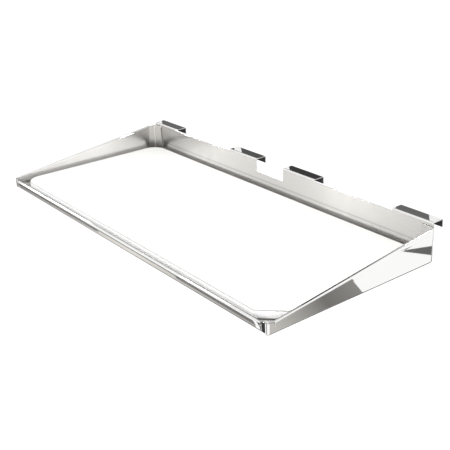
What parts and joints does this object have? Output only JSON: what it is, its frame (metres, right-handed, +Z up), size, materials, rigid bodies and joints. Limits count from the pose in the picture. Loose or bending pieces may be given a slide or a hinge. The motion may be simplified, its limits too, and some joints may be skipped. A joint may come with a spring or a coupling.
{
  "type": "hook-on serving shelf",
  "caption": "Shallow folded stainless steel tray shelf that hangs by hooks along its back edge, with a white cutting board lying in it.",
  "frame": {"origin": "middle of the overall width and depth, in the plane of the tray's underside", "axes": "+X to the right end panel, +Y to the back panel and hooks, +Z up"},
  "size_m": [0.5738, 0.2676, 0.0486],
  "materials": {
    "satin_stainless": "fine satin inner faces",
    "bright_stainless": "mirror-bright outer faces",
    "white_board": "fine matt polyethylene"
  },
  "bodies": {
    "tray": {"floor_pan": "satin_stainless", "front_lip": "bright_stainless", "back_panel": "satin_stainless", "left_end_panel": "bright_stainless", "right_end_panel": "bright_stainless", "left_outer_hook": "bright_stainless", "left_inner_hook": "bright_stainless", "right_inner_hook": "bright_stainless", "right_outer_hook": "bright_stainless"},
    "board": {"cutting_board": "white_board"}
  },
  "joints": [
    {"name": "board_lift", "type": "slide", "parent": "tray", "child": "board", "axis": [0, 0, 1], "range_m": [0, 0.07]}
  ]
}
